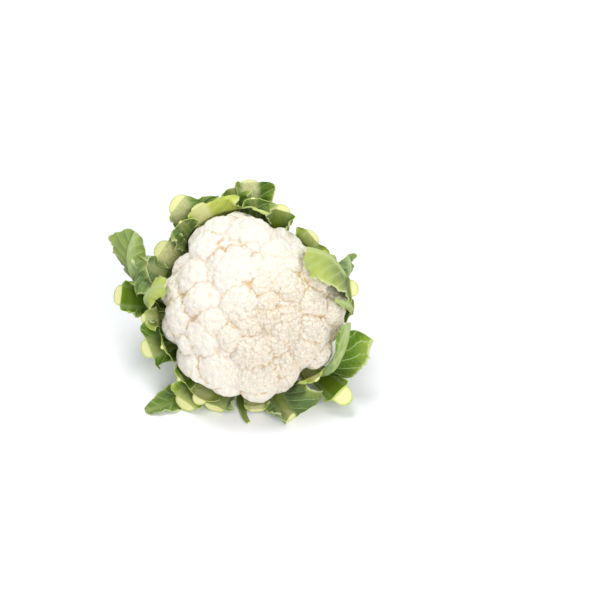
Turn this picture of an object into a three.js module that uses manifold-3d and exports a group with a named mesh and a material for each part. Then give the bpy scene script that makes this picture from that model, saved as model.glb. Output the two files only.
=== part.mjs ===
// A head of cauliflower with its leaves trimmed short, lying over on its cut stem and lower leaves.
// Millimetres, +Z up. The head is drawn about its own axis, with the curd's middle at the origin,
// and the finished head is then laid over so that the curd faces forwards and up.
import * as THREE from "three";
import { mergeVertices } from "three/addons/utils/BufferGeometryUtils.js";
import Module from "manifold-3d";

const wasm = await Module();
wasm.setup();

const degree = Math.PI / 180;
const goldenAngle = 137.508 * degree;

// How the head lies: the rise of its axis above the surface, and where the curd's middle stands
const axisRise = 47;
const headCentre = new THREE.Vector3(10.4, -5.7, 68);

// The curd: a dome of florets over a core that narrows to the neck, where the stem takes over
const curdRadius = 79;
const curdDome = 62;
const coreShare = 0.9;
const neckDepth = 42;
const branchCount = 11;
const branchRelief = 0.05;
const curdDetail = 13;
const frontBias = 0.2;

// Where the curd's outline swells or falls back: around the axis in degrees, spread, share gained
const swells = [
  [57, 24, -0.16], [75, 6, -0.1], [88, 7, 0.05], [113, 20, 0.05], [145, 10, -0.07], [240, 15, 0.1],
  [255, 5, -0.07], [270, 8, 0.04], [302, 12, -0.07],
];

// A floret's ball: its radius over the floret's size. The buds on it stand a start and a share of
// the size apart, closer on the side where the curd is finest; a bud's radius is a share of that
const flatness = 1.32;
const budSpacing = { start: 5.4, share: 0.17, fine: 0.85 };
const budRoundness = { smooth: 0.68, fine: 0.6 };
const fineSide = { around: 318, tilt: 45 };

// The stem below the neck, cut flat
const stemCut = -74;
const stemRadius = 25;

// Gaps that neighbours keep, and the thickness of a leaf's blade
const gap = 0.35;
const curdGap = 0.8;
const bladeThickness = 0.9;

// How far a stalk's inner side falls back at its edges, as a share of half its width
const bulge = 0.08;

// How far the corners of a blade are rounded off
const corner = 5;

// Under the rim the florets stay inside a cone with this slope and reach
const underCone = { across: 0.54, down: 0.84, reach: 53 };

const colours = { curd: 0xf3ead8, stem: 0xdfe5b4, dark: 0x3f6f2a, light: 0xb4cc62, grey: 0x8fa88c };

// Florets of the front: around the axis in degrees from the right, tilt from the axis, and radius
const florets = [
  [114, 70, 18], [95, 56, 20], [79, 63, 12], [128, 56, 17], [66, 45, 21], [120, 24, 23],
  [55, 25, 16], [39, 39, 10], [48, 57, 12], [157, 47, 18], [190, 57, 19], [180, 37, 14],
  [212, 8, 18], [211, 29, 15], [221, 43, 19], [18, 26, 12], [358, 44, 14], [355, 66, 11],
  [19, 52, 12], [50, 11, 10], [345, 11, 9], [325, 29, 16], [320, 15, 10], [336, 49, 15],
  [318, 54, 15], [300, 54, 17], [269, 35, 18], [272, 58, 20], [244, 54, 17], [231, 68, 13],
  [262, 17, 12], [243, 28, 9], [299, 33, 12], [214, 59, 12], [170, 66, 13], [295, 78, 12],
];

// Florets that close the rim, by rule
const rimFlorets = { count: 15, tilt: 88, size: 13.5 };

// A repeatable draw between 0 and 1
function draw(seed) {
  const value = Math.sin(seed * 12.9898) * 43758.5453;
  return value - Math.floor(value);
}

// The share by which the curd's outline stands out in a direction
function swell(way) {
  const around = Math.atan2(way.y, way.x) / degree;
  const side = Math.hypot(way.x, way.y) / way.length();
  return swells.reduce((gained, [middle, spread, share]) => {
    const off = THREE.MathUtils.euclideanModulo(around - middle + 180, 360) - 180;
    return gained + share * side * Math.exp(-((off / spread) ** 2));
  }, 1);
}

function polarWay(around, tilt) {
  const a = around * degree;
  const t = tilt * degree;
  return new THREE.Vector3(Math.sin(t) * Math.cos(a), Math.sin(t) * Math.sin(a), Math.cos(t));
}

// One floret as balls: its own dome, sunk to touch the curd's outline, and a spiral of buds on it
function floretBalls([around, tilt, size], index) {
  const way = polarWay(around, tilt);
  const top = way.clone()
    .multiply(new THREE.Vector3(curdRadius, curdRadius, curdDome))
    .multiplyScalar(swell(way));
  const out = top.clone()
    .divide(new THREE.Vector3(curdRadius ** 2, curdRadius ** 2, curdDome ** 2))
    .normalize();
  const side = new THREE.Vector3().crossVectors(out, new THREE.Vector3(0.31, 0.17, 0.93)).normalize();
  const other = new THREE.Vector3().crossVectors(out, side);
  const radius = size * flatness;
  const centre = top.clone().addScaledVector(out, -radius);
  const nearFine = out.dot(polarWay(fineSide.around, fineSide.tilt));
  const fine = THREE.MathUtils.clamp((nearFine - 0.7) / 0.22, 0, 1);
  const roundness = THREE.MathUtils.lerp(budRoundness.smooth, budRoundness.fine, fine);
  const closer = THREE.MathUtils.lerp(1, budSpacing.fine, fine);
  const spacing = closer * (budSpacing.start + budSpacing.share * size);
  const budBall = spacing * roundness;
  const balls = [{ centre, radius: radius - 0.5 * budBall }];
  const spread = 1 - Math.cos(Math.asin(Math.min(0.97, 1.3 * size / radius)));
  const count = Math.round(spread * 2 * Math.PI * radius ** 2 / (0.8 * spacing ** 2));
  for (let k = 0; k < count; k++) {
    const lean = Math.acos(1 - spread * (k + 0.5) / count);
    const turn = k * goldenAngle + index;
    const bud = out.clone().multiplyScalar(Math.cos(lean))
      .addScaledVector(side, Math.sin(lean) * Math.cos(turn))
      .addScaledVector(other, Math.sin(lean) * Math.sin(turn));
    const budRadius = budBall * (0.86 + 0.3 * draw(index * 97 + k));
    const depth = radius - budBall - 0.6 * (budRadius - budBall);
    balls.push({ centre: centre.clone().addScaledVector(bud, depth), radius: budRadius });
  }
  return balls;
}

function allBalls() {
  const rim = Array.from({ length: rimFlorets.count }, (_, k) => [
    k * 360 / rimFlorets.count + 12 * draw(k),
    rimFlorets.tilt + 6 * draw(k + 50),
    rimFlorets.size + 3 * (draw(k + 90) - 0.5),
  ]);
  return [...florets, ...rim].flatMap(floretBalls);
}

// How far the core reaches in a direction: an inner dome in front, a fluted cone down to the neck behind
function coreReach(way) {
  const side = Math.hypot(way.x, way.y);
  const wide = coreShare * curdRadius;
  if (way.z >= 0) return swell(way) / Math.hypot(side / wide, way.z / (coreShare * curdDome));
  const flute = 1 + branchRelief * Math.cos(branchCount * Math.atan2(way.y, way.x));
  return flute * wide / (side - way.z);
}

// The curd's surface: in each direction the furthest of the core and the balls
function curdReach(way, balls) {
  let reach = coreReach(way);
  for (const { centre, radius } of balls) {
    const along = way.dot(centre);
    const off = centre.lengthSq() - along * along;
    if (along > 0 && off < radius * radius) {
      reach = Math.max(reach, along + Math.sqrt(radius * radius - off));
    }
  }
  return way.z < 0 ? Math.min(reach, neckDepth / -way.z) : reach;
}

function curdGeometry(balls, grow) {
  const sphere = new THREE.IcosahedronGeometry(1, curdDetail);
  sphere.deleteAttribute("normal");
  sphere.deleteAttribute("uv");
  const geometry = mergeVertices(sphere);
  const place = geometry.getAttribute("position");
  const way = new THREE.Vector3();
  for (let i = 0; i < place.count; i++) {
    way.fromBufferAttribute(place, i).normalize();
    const polar = Math.acos(THREE.MathUtils.clamp(way.z, -1, 1));
    const moved = polar - frontBias * Math.sin(polar);
    const turn = Math.atan2(way.y, way.x);
    way.set(Math.sin(moved) * Math.cos(turn), Math.sin(moved) * Math.sin(turn), Math.cos(moved));
    way.multiplyScalar(curdReach(way, balls) + grow);
    place.setXYZ(i, way.x, way.y, way.z);
  }
  return geometry;
}

// The stem as a turned profile from the cut up to the neck
function stemGeometry(grow) {
  const top = -neckDepth - gap + grow;
  const points = [
    [0, stemCut - grow], [stemRadius - 3 + grow, stemCut - grow], [stemRadius - 0.5 + grow, stemCut + 2],
    [stemRadius + 1 + grow, stemCut + 11], [stemRadius + grow, stemCut + 22],
    [stemRadius - 2 + grow, top], [0, top],
  ].map(([reach, rise]) => new THREE.Vector2(reach, rise));
  const turned = new THREE.LatheGeometry(points, 24).rotateX(Math.PI / 2);
  turned.deleteAttribute("normal");
  turned.deleteAttribute("uv");
  return mergeVertices(turned, 1e-4);
}

// Where a leaf springs from the stem: low is the outermost layer
const low = [20, -67];
const middle = [20, -59];
const high = [20, -51];

// A leaf that leaves the stem straight outwards, without turning round the head
function straight(around, root, shoulder, end) {
  return [[around, ...root], [around, root[0] + 20, root[1] + 15], [around, ...shoulder], [around, ...end]];
}

// Every leaf. path is the midrib's Bezier curve, each point as [around in degrees, reach, rise];
// rib is [width, thickness]; ahead and behind are the blade's two sides, the way the angle grows and
// the other way, each as [width, curl in degrees towards the curd, lift in degrees beside the rib];
// from is where along the rib the blade begins; ruffle is [height, waves, start]; cut is [slant of
// the cut across the stalk, how much longer the outer side is] and jut is how far the blades ahead and
// behind reach past the stalk, all in mm; tip is 0 for a leaf that was cut across and 1 for one that
// ends in its own point; tone is how light and how grey its green is
const leaves = [
  { name: "outer_leaf_01", path: straight(10, low, [66, -10], [82, 4]), rib: [14, 10],
    ahead: [6, 30, 10], behind: [6, 20, 10], from: 0.6, ruffle: [1, 3, 0], cut: [1, 1], jut: [0, 0],
    tip: 0, tone: [0.6, 0] },
  { name: "outer_leaf_02", path: straight(50, low, [58, -9], [76, 0]), rib: [15, 9],
    ahead: [7, 30, 10], behind: [20, 25, 0], from: 0.6, ruffle: [1.5, 3, 0.3], cut: [2, 1],
    jut: [0, 3], tip: 0, tone: [0.62, 0] },
  { name: "outer_leaf_03", path: straight(74, low, [66, -8], [83, 2]), rib: [16, 10],
    ahead: [5, 30, 10], behind: [14, 130, 20], from: 0.6, ruffle: [1.5, 3, 0.1], cut: [0, 2],
    jut: [0, 0], tip: 0, tone: [0.45, 0] },
  { name: "outer_leaf_04", path: straight(92, low, [81, -6], [104, 0]), rib: [14, 9],
    ahead: [5, 30, 10], behind: [17, 35, -10], from: 0.55, ruffle: [2, 4, 0.4], cut: [0, 2],
    jut: [3, 1], tip: 0, tone: [0.35, 0] },
  { name: "outer_leaf_05", path: straight(100, middle, [80, -12], [101, -2]), rib: [5, 3],
    ahead: [18, 50, 0], behind: [16, 40, 5], from: 0.5, ruffle: [5, 3, 0], cut: [0, 0], jut: [0, 0],
    tip: 0.5, tone: [0.55, 0.1] },
  { name: "outer_leaf_06", path: [[129, 20, -67], [129, 42, -51], [129, 87, -13], [126, 105, 2]],
    rib: [19, 10], ahead: [4, 20, 10], behind: [26, 20, 15], from: 0.6, ruffle: [2.5, 4, 0.2],
    cut: [-6, 2], jut: [0, -13], tip: 0, tone: [0.45, 0.25] },
  { name: "outer_leaf_07", path: straight(148, low, [70, -14], [88, 2]), rib: [17, 12],
    ahead: [4, 20, 10], behind: [13, 25, 5], from: 0.6, ruffle: [2, 3, 0.6], cut: [0, 1], jut: [0, 3],
    tip: 0, tone: [0.35, 0.15] },
  { name: "outer_leaf_08", path: straight(175, low, [90, -21], [110, -4]), rib: [18, 11],
    ahead: [10, 40, 20], behind: [12, 120, 40], from: 0.5, ruffle: [3, 4, 0.1], cut: [0, 1],
    jut: [0, 0], tip: 0, tone: [0.5, 0] },
  { name: "outer_leaf_09", path: straight(187, middle, [76, -9], [89, 6]), rib: [9, 6],
    ahead: [7, 50, 30], behind: [7, 60, 30], from: 0.6, ruffle: [2, 4, 0.5], cut: [0, 0], jut: [0, 0],
    tip: 0, tone: [0.7, 0] },
  { name: "outer_leaf_10", path: straight(202, low, [70, -15], [92, -2]), rib: [17, 10],
    ahead: [13, -50, -15], behind: [20, 60, 10], from: 0.55, ruffle: [3, 4, 0.8], cut: [0, 4],
    jut: [0, 4], tip: 0, tone: [0.4, 0] },
  { name: "outer_leaf_11", path: [[234, 20, -67], [234, 45, -50], [235, 92, -22], [224, 125, -12]],
    rib: [5, 3], ahead: [17, 20, 5], behind: [18, 20, 5], from: 0.45, ruffle: [2, 3, 0.2], cut: [0, 0],
    jut: [0, 0], tip: 0.9, tone: [0.45, 0.15] },
  { name: "outer_leaf_12", path: straight(235, middle, [79, -18], [96, -4]), rib: [19, 11],
    ahead: [5, 20, 10], behind: [10, 40, 10], from: 0.6, ruffle: [1.5, 3, 0], cut: [0, 1], jut: [0, 0],
    tip: 0, tone: [0.65, 0] },
  { name: "outer_leaf_13", path: straight(249, middle, [73, -19], [88, -6]), rib: [18, 8],
    ahead: [6, 30, 10], behind: [17, 60, 20], from: 0.6, ruffle: [3, 4, 0.3], cut: [0, 0], jut: [0, 0],
    tip: 0, tone: [0.3, 0.4] },
  { name: "outer_leaf_14", path: [[266, 20, -67], [262, 40, -52], [256, 80, -26], [268, 97, -3]],
    rib: [3.5, 2.5], ahead: [3.5, 40, 30], behind: [3.5, 40, 30], from: 0.5, ruffle: [1, 4, 0],
    cut: [0, 0], jut: [0, 0], tip: 0.6, tone: [0.35, 0] },
  { name: "outer_leaf_15", path: [[283, 20, -67], [283, 42, -51], [283, 74, -12], [289, 99, -3]],
    rib: [12, 9], ahead: [31, 45, 12], behind: [10, 20, 10], from: 0.5, ruffle: [5, 3, 0.6],
    cut: [0, 1], jut: [0, 0], tip: 0, tone: [0.2, 0.3] },
  { name: "outer_leaf_16", path: straight(315, low, [94, -19], [100, 2]), rib: [17, 14],
    ahead: [4, 20, 10], behind: [5, 40, 10], from: 0.6, ruffle: [1.5, 3, 0.2], cut: [0, 3],
    jut: [0, 0], tip: 0, tone: [0.5, 0] },
  { name: "outer_leaf_17", path: [[318, 20, -59], [312, 52, -44], [303, 104, 0], [347, 68, 15]],
    rib: [9, 6.5], ahead: [31, -15, -75], behind: [9, 60, 50], from: 0.5, ruffle: [3, 4, 0.1],
    cut: [0, 0], jut: [-6, 0], tip: 0, tone: [0.5, 0] },
  { name: "outer_leaf_18", path: straight(1, middle, [60, -15], [84, -6]), rib: [5, 3],
    ahead: [5, 30, 10], behind: [14, 30, 0], from: 0.5, ruffle: [2.5, 4, 0.5], cut: [0, 0],
    jut: [0, 0], tip: 0.3, tone: [0.4, 0.1] },
  { name: "outer_leaf_19", path: [[178, 20, -59], [178, 68, -36], [172, 108, -6], [148, 112, 8]],
    rib: [9, 9], ahead: [18, 20, 80], behind: [44, 50, -75], from: 0.2, ruffle: [5, 3, 0.3],
    cut: [0, 0], jut: [0, 0], tip: 0.8, tone: [0.66, 0.05] },
  { name: "inner_leaf_01", path: [[6, 20, -51], [6, 76, -46], [10, 94, 18], [44, 61, 32]],
    rib: [5, 3], ahead: [5, 10, 0], behind: [38, 15, 0], from: 0.5, ruffle: [3, 3, 0], cut: [0, 0],
    jut: [0, 5], tip: 0, tone: [0.85, 0] },
  { name: "inner_leaf_02", path: [[16, 20, -59], [16, 60, -40], [11, 88, -8], [28, 87, 6]],
    rib: [4, 3], ahead: [10, 20, -70], behind: [12, 30, 80], from: 0.5, ruffle: [3, 4, 0.4],
    cut: [0, 0], jut: [0, 0], tip: 0.3, tone: [0.4, 0.3] },
  { name: "inner_leaf_03", path: straight(90, high, [72, -8], [88, 10]), rib: [5, 3],
    ahead: [14, 60, 5], behind: [18, 60, 0], from: 0.5, ruffle: [5, 4, 0.1], cut: [0, 0], jut: [0, 0],
    tip: 0.2, tone: [0.3, 0.15] },
  { name: "inner_leaf_04", path: straight(119, high, [74, -6], [94, 2]), rib: [14, 8],
    ahead: [6, 30, 10], behind: [34, 36, 10], from: 0.55, ruffle: [5, 3, 0.7], cut: [0, 2],
    jut: [0, 0], tip: 0, tone: [1, 0] },
  { name: "inner_leaf_05", path: straight(131, middle, [76, -10], [91, 8]), rib: [4, 3],
    ahead: [20, 60, -10], behind: [15, 80, 20], from: 0.5, ruffle: [5, 4, 0.2], cut: [0, 0],
    jut: [0, 0], tip: 0.2, tone: [0.3, 0.25] },
  { name: "inner_leaf_06", path: straight(159, middle, [75, -3], [108, 4]), rib: [5, 4],
    ahead: [26, 30, -5], behind: [8, 40, 20], from: 0.5, ruffle: [4, 3, 0.5], cut: [0, 0],
    jut: [-10, -4], tip: 0, tone: [0.35, 0.45] },
  { name: "inner_leaf_07", path: [[184, 20, -51], [186, 66, -44], [181, 114, 14], [170, 70, 38]],
    rib: [4, 2.5], ahead: [10, 60, 10], behind: [12, 50, 10], from: 0.5, ruffle: [4, 4, 0.3],
    cut: [0, 0], jut: [0, 0], tip: 0.2, tone: [0.85, 0] },
  { name: "inner_leaf_08", path: straight(205, high, [70, -13], [81, 6]), rib: [5, 4],
    ahead: [18, 70, 10], behind: [16, 70, 10], from: 0.5, ruffle: [3, 4, 0.6], cut: [0, 0],
    jut: [0, 0], tip: 0.3, tone: [0.45, 0] },
  { name: "inner_leaf_09", path: straight(240, high, [71, -14], [85, 0]), rib: [12, 8],
    ahead: [10, 50, 10], behind: [8, 50, 10], from: 0.6, ruffle: [2, 5, 0.1], cut: [0, 1], jut: [0, 0],
    tip: 0, tone: [0.8, 0] },
  { name: "inner_leaf_10", path: straight(272, high, [71, -18], [85, -6]), rib: [13, 4],
    ahead: [5, 40, 10], behind: [5, 40, 10], from: 0.6, ruffle: [2, 4, 0.8], cut: [0, 0], jut: [0, 0],
    tip: 0, tone: [0.9, 0.5] },
  { name: "inner_leaf_11", path: straight(311, high, [70, -13], [80, 4]), rib: [7, 3],
    ahead: [12, 80, 10], behind: [16, 60, 10], from: 0.6, ruffle: [3, 5, 0.4], cut: [0, 0],
    jut: [0, 0], tip: 0.2, tone: [0.9, 0] },
  { name: "inner_leaf_12", path: [[104, 20, -51], [106, 66, -44], [106, 88, 12], [80, 74, 26]],
    rib: [1.5, 1.2], ahead: [3, 60, 20], behind: [3, 60, 20], from: 0.5, ruffle: [2.5, 8, 0.1],
    cut: [0, 0], jut: [0, 0], tip: 0.3, tone: [1, 0] },
  { name: "inner_leaf_13", path: [[-6, 20, -51], [-5, 72, -44], [-4, 102, 6], [1, 67, 36]],
    rib: [1.5, 1.2], ahead: [6, 60, 10], behind: [5, 40, 10], from: 0.5, ruffle: [2.5, 5, 0.3],
    cut: [0, 0], jut: [0, 0], tip: 0.9, tone: [0.75, 0] },
  { name: "inner_leaf_14", path: straight(225, high, [74, -17], [85, 2]), rib: [5, 4],
    ahead: [15, 70, 10], behind: [14, 70, 10], from: 0.5, ruffle: [3, 5, 0.2], cut: [0, 0],
    jut: [0, 0], tip: 0.3, tone: [0.5, 0] },
];

function ribPoint(path, u) {
  const weights = [(1 - u) ** 3, 3 * u * (1 - u) ** 2, 3 * u * u * (1 - u), u ** 3];
  const [around, reach, rise] = [0, 1, 2].map((axis) =>
    weights.reduce((sum, weight, k) => sum + weight * path[k][axis], 0));
  const turn = around * degree;
  return new THREE.Vector3(reach * Math.cos(turn), reach * Math.sin(turn), rise);
}

function ribLength(path) {
  const points = Array.from({ length: 60 }, (_, k) => ribPoint(path, k / 59));
  return points.slice(1).reduce((sum, point, k) => sum + point.distanceTo(points[k]), 0);
}

// The directions at a point of the midrib: along it, towards the curd, and across the leaf
function ribFrame(path, u) {
  const place = ribPoint(path, u);
  const along = ribPoint(path, u + 0.01).sub(ribPoint(path, u - 0.01)).normalize();
  const inward = place.clone().negate().projectOnPlane(along).normalize();
  return { place, along, inward, across: new THREE.Vector3().crossVectors(inward, along) };
}

// Upwards from the surface, and the surface's height, both about the curd's middle
const upright = new THREE.Vector3(0, Math.cos(axisRise * degree), Math.sin(axisRise * degree));

// A point that would enter the curd's outline or the surface below is pressed out to lie on it
function settle(point, normal, thickness) {
  const reach = Math.hypot(point.x, point.y);
  const dome = swell(point) / Math.hypot(reach / (curdRadius + curdGap), point.z / (curdDome + curdGap));
  const under = underCone.reach + curdGap - underCone.across * reach + underCone.down * point.z;
  if (dome > 1 && under > 0) {
    if ((dome - 1) * point.length() < under) {
      point.multiplyScalar(dome);
    } else {
      const way = new THREE.Vector3(point.x, point.y, 0).setLength(underCone.across);
      point.add(way.setZ(-underCone.down).multiplyScalar(under));
    }
  }
  const height = headCentre.z + point.dot(upright) - thickness * Math.max(0, normal.dot(upright));
  if (height < 0) point.addScaledVector(upright, -height);
}

// Both faces of a leaf at u along its rib and q across it: within 1 of the middle is the rib, from
// there to 2 is the blade, an arc of even curl with a ruffle that grows towards its edge. Near the end
// the cut runs slanting over the stalk, and the blades jut past it
function leafFaces(leaf, u, q, grow) {
  const side = Math.sign(q);
  const t = Math.max(0, Math.abs(q) - 1);
  const s = THREE.MathUtils.clamp(q, -1, 1);
  const jut = (side > 0 ? leaf.jut[0] : leaf.jut[1]) * Math.min(1, 3 * t) - corner * t ** 4;
  const at = u + (leaf.cut[0] * s + jut) / ribLength(leaf.path) * u ** 6;
  const { place, along, inward, across } = ribFrame(leaf.path, at);
  const grown = THREE.MathUtils.clamp((u - leaf.from) / (1 - leaf.from), 0, 1);
  const half = 0.5 * leaf.rib[0] * (0.6 + 0.4 * u) * (1 - 0.8 * leaf.tip * u ** 4);
  const point = place.addScaledVector(across, s * half).addScaledVector(inward, -bulge * s * s * half);
  const normal = inward.clone();
  const ribDepth = (leaf.rib[1] - bladeThickness) * (1 - 0.8 * leaf.tip * u ** 3);
  const thickness = bladeThickness + ribDepth * Math.sqrt(1 - s * s);
  if (t > 0) {
    const [spread, curl, lift] = side > 0 ? leaf.ahead : leaf.behind;
    const width = Math.max(0.8, spread * grown ** 0.45 * Math.sqrt(1 - leaf.tip * grown ** 4));
    const start = lift * degree;
    const bend = curl * degree;
    const turn = start + bend * t;
    point.addScaledVector(across, side * width * (Math.sin(turn) - Math.sin(start)) / bend);
    point.addScaledVector(inward, width * (Math.cos(start) - Math.cos(turn)) / bend);
    normal.multiplyScalar(Math.cos(turn)).addScaledVector(across, -side * Math.sin(turn));
    const [rise, waves, phase] = leaf.ruffle;
    const wave = Math.sin(2 * Math.PI * (waves * u + phase + 0.3 * side));
    point.addScaledVector(normal, rise * grown * t ** 1.5 * wave);
    if (t === 1) {
      point.addScaledVector(across, side * Math.cos(turn) * grow);
      point.addScaledVector(inward, Math.sin(turn) * grow);
    }
  }
  settle(point, normal, thickness);
  if (u === 1) point.addScaledVector(along, grow);
  return [
    point.clone().addScaledVector(normal, grow),
    point.clone().addScaledVector(normal, -thickness - grow)
      .addScaledVector(along, leaf.cut[1] * Math.sqrt(1 - s * s) * u ** 6),
  ];
}

// A leaf as a closed solid: its inner and outer faces on one grid, joined round the edge
function leafSolid(leaf, grow) {
  const blade = (spread) => (spread > 28 ? [0.25, 0.5, 0.75, 1] : spread > 14 ? [0.35, 0.7, 1] : [0.5, 1]);
  const rib = leaf.rib[0] > 13 ? [-1, -0.5, 0, 0.5, 1] : [-1, 0, 1];
  const stations = [
    ...blade(leaf.behind[0]).reverse().map((t) => -1 - t), ...rib, ...blade(leaf.ahead[0]).map((t) => 1 + t),
  ];
  const rows = [0, 0.4, 0.6, 0.74, 0.87, 1];
  const inner = [];
  const outer = [];
  for (const u of rows) {
    for (const q of stations) {
      const [inside, outside] = leafFaces(leaf, u, q, grow);
      inner.push(...inside);
      outer.push(...outside);
    }
  }
  const width = stations.length;
  const total = rows.length * width;
  const faces = [];
  const quad = (a, b, c, d) => faces.push(a, b, c, a, c, d);
  for (let i = 0; i + 1 < rows.length; i++) {
    const row = i * width;
    for (let j = 0; j + 1 < width; j++) {
      const a = row + j;
      quad(a, a + width, a + width + 1, a + 1);
      faces.push(total + a, total + a + width + 1, total + a + width);
      faces.push(total + a, total + a + 1, total + a + width + 1);
    }
    quad(row, total + row, total + row + width, row + width);
    const last = row + width - 1;
    quad(last, last + width, total + last + width, total + last);
  }
  for (let j = 0; j + 1 < width; j++) {
    const end = total - width + j;
    quad(j, j + 1, total + j + 1, total + j);
    quad(end, total + end, total + end + 1, end + 1);
  }
  return new wasm.Manifold(new wasm.Mesh({
    numProp: 3,
    vertProperties: new Float32Array([...inner, ...outer]),
    triVerts: new Uint32Array(faces),
  }));
}

function solidFromGeometry(geometry) {
  return new wasm.Manifold(new wasm.Mesh({
    numProp: 3,
    vertProperties: new Float32Array(geometry.getAttribute("position").array),
    triVerts: new Uint32Array(geometry.getIndex().array),
  }));
}

function largestPiece(solid) {
  return solid.decompose().reduce((best, piece) => (piece.volume() > best.volume() ? piece : best));
}

function meet(first, second) {
  const [one, two] = [first.boundingBox(), second.boundingBox()];
  return [0, 1, 2].every((k) => one.min[k] < two.max[k] && two.min[k] < one.max[k]);
}

function meshFromSolid(name, solid, colour, roughness) {
  const { vertProperties, triVerts } = solid.getMesh();
  const geometry = new THREE.BufferGeometry();
  geometry.setAttribute("position", new THREE.BufferAttribute(vertProperties, 3));
  geometry.setIndex(new THREE.BufferAttribute(triVerts, 1));
  geometry.computeVertexNormals();
  const material = new THREE.MeshStandardMaterial({ color: colour, roughness, metalness: 0 });
  const mesh = new THREE.Mesh(geometry, material);
  mesh.name = name;
  return mesh;
}

// The head, laid over so that its axis rises towards the front
const head = new THREE.Group();
head.rotation.x = (90 - axisRise) * degree;
head.position.copy(headCentre);
head.updateMatrix();

// What lies below the surface, seen from the head
const below = wasm.Manifold.cube([600, 600, 200], true)
  .translate([0, 0, -100])
  .transform(head.matrix.clone().invert().toArray());

const balls = allBalls();
const curd = solidFromGeometry(curdGeometry(balls, 0));
const stem = solidFromGeometry(stemGeometry(0)).subtract(below);
head.add(meshFromSolid("curd", curd, colours.curd, 0.85));
head.add(meshFromSolid("stem", largestPiece(stem), colours.stem, 0.6));

// Each leaf gives way to the curd, the stem and the leaves before it, one after the other
const taken = [solidFromGeometry(curdGeometry(balls, curdGap)), solidFromGeometry(stemGeometry(gap)), below];
for (const leaf of leaves) {
  let solid = leafSolid(leaf, 0);
  for (const other of taken) {
    if (meet(solid, other)) solid = largestPiece(solid.subtract(other));
  }
  taken.push(leafSolid(leaf, gap), solid);
  const [light, grey] = leaf.tone;
  const colour = new THREE.Color(colours.dark)
    .lerp(new THREE.Color(colours.light), light)
    .lerp(new THREE.Color(colours.grey), 0.6 * grey);
  head.add(meshFromSolid(leaf.name, solid, colour, 0.55));
}

const cauliflower = new THREE.Group();
cauliflower.add(head);

export default cauliflower;
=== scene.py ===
# A head of cauliflower with its leaves trimmed short, lying on its cut stem and lower leaves.
# Shapes are worked out in millimetres about the head's own axis, with the curd's middle at the
# origin, and then laid over into the row frame in metres.
import math

import bpy
import numpy as np
from mathutils import Matrix, Vector


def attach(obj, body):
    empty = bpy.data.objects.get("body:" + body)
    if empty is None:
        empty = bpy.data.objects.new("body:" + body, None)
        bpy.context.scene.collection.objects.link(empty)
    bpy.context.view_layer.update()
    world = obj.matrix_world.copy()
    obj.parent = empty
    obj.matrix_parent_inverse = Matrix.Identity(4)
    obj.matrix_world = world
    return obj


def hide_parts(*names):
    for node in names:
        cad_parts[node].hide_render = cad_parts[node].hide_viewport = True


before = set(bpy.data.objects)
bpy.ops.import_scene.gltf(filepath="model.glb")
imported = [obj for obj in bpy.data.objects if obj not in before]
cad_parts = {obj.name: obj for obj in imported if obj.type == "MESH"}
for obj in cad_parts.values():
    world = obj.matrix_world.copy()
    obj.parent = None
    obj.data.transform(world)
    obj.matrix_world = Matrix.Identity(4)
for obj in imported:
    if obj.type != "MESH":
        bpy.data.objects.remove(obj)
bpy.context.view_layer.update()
print("Frame loaded with", len(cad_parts), "nodes")

degree = math.pi / 180
goldenAngle = 137.508 * degree

# How the head lies: its axis rises this much towards the front, and its middle stands here
pose = {"axisRise": 47, "centre": (10.4, -5.7, 68)}

axisCos = math.cos(pose["axisRise"] * degree)
axisSin = math.sin(pose["axisRise"] * degree)
upright = np.array([0, axisCos, axisSin])  # the row's up, seen from the head


# A repeatable draw between 0 and 1: the fraction of a large multiple of a sine
def draw(seed):
    value = np.sin(np.asarray(seed) * 12.9898) * 43758.5453
    return value - np.floor(value)


# Smooth noise of about -1 to 1: five sine waves of one length run in seeded directions
def wobble(points, length, seed):
    rng = np.random.default_rng(seed)
    ways = rng.normal(size=(5, points.shape[-1]))
    ways /= np.linalg.norm(ways, axis=1)[:, None]
    phases = rng.uniform(0, 2 * math.pi, 5)
    return np.sin(points @ ways.T * (2 * math.pi / length) + phases).mean(axis=-1) * 2.2


# Each vector divided by its own length, so that it is 1 long
def unit(vectors):
    return vectors / np.linalg.norm(vectors, axis=-1, keepdims=True)


# From the first value to the second by a share
def between(share, first, second):
    return first + (second - first) * share


# Lays points of the head over into the row frame: a turn about X, then the middle's place, in metres
def toRow(points):
    x, y, z = np.moveaxis(points, -1, 0)
    laid = np.stack([x, y * axisSin - z * axisCos, y * axisCos + z * axisSin], axis=-1)
    laid = (laid + np.array(pose["centre"])) / 1000
    laid[..., 2] = np.maximum(laid[..., 2], 0)  # nothing goes below the surface
    return laid


# Faces of a grid of rows and columns of points numbered from start, turned over if asked
def gridFaces(rows, columns, start=0, flip=False):
    first = start + np.arange((rows - 1) * columns).reshape(rows - 1, columns)[:, :-1].ravel()
    faces = np.stack([first, first + columns, first + columns + 1, first + 1], axis=1)
    return faces[:, ::-1] if flip else faces


# Puts points and four-sided faces into a mesh, with its materials, the material of each face, a
# flat map called surface and a number for each point under each title
def makePiece(name, points, faces, skins, skinOfFace=None, uv=None, values=None):
    mesh = bpy.data.meshes.new(name)
    mesh.from_pydata(points.reshape(-1, 3).tolist(), [], faces.tolist())
    for skin in skins:
        mesh.materials.append(skin)
    if skinOfFace is not None:
        mesh.polygons.foreach_set("material_index", skinOfFace.astype(np.int32))
    mesh.polygons.foreach_set("use_smooth", np.ones(len(faces), dtype=bool))
    if uv is not None:
        layer = mesh.uv_layers.new(name="surface")
        layer.data.foreach_set("uv", uv.reshape(-1, 2)[faces.ravel()].ravel().astype(np.float32))
    for title, numbers in (values or {}).items():
        channel = mesh.attributes.new(title, "FLOAT", "POINT")
        channel.data.foreach_set("value", numbers.ravel().astype(np.float32))
    mesh.update()
    piece = bpy.data.objects.new(name, mesh)
    bpy.context.scene.collection.objects.link(piece)
    return piece


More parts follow.
